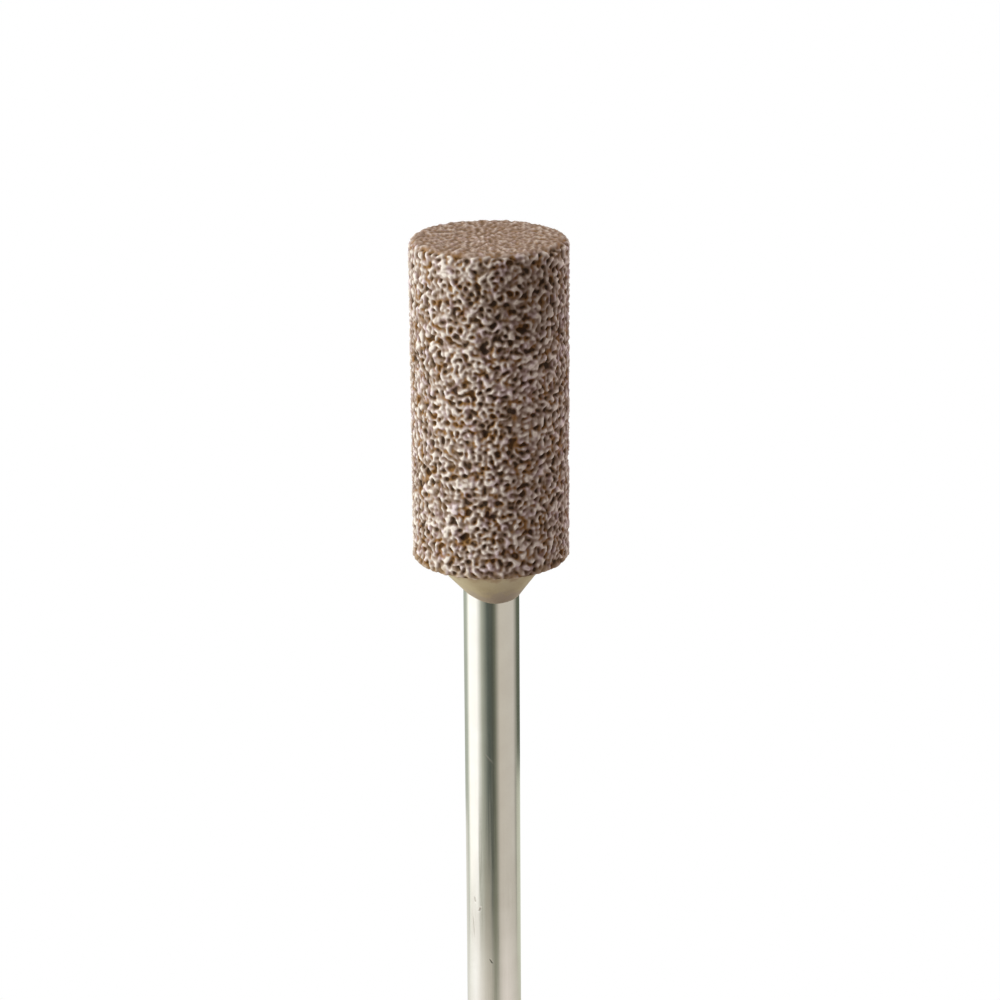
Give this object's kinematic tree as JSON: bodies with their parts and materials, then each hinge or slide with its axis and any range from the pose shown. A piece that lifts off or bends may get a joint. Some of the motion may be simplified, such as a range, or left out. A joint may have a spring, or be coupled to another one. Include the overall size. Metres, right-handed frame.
{
  "type": "mounted grinding point",
  "caption": "Cylindrical bonded abrasive head cemented onto a slim round steel shank, for grinding in a rotary handpiece.",
  "frame": {"origin": "middle of the head's flat end face, on which the point stands", "axes": "+Z along the axis of rotation, from the head to the free end of the shank; X and Y are equal, because the part is round"},
  "size_m": [0.0065, 0.0064, 0.0445],
  "materials": {
    "abrasive": "matte",
    "cement": "satin",
    "steel": "satin"
  },
  "bodies": {
    "root": {"abrasive_head": "abrasive", "cement_collar": "cement", "shank": "steel"}
  },
  "joints": []
}
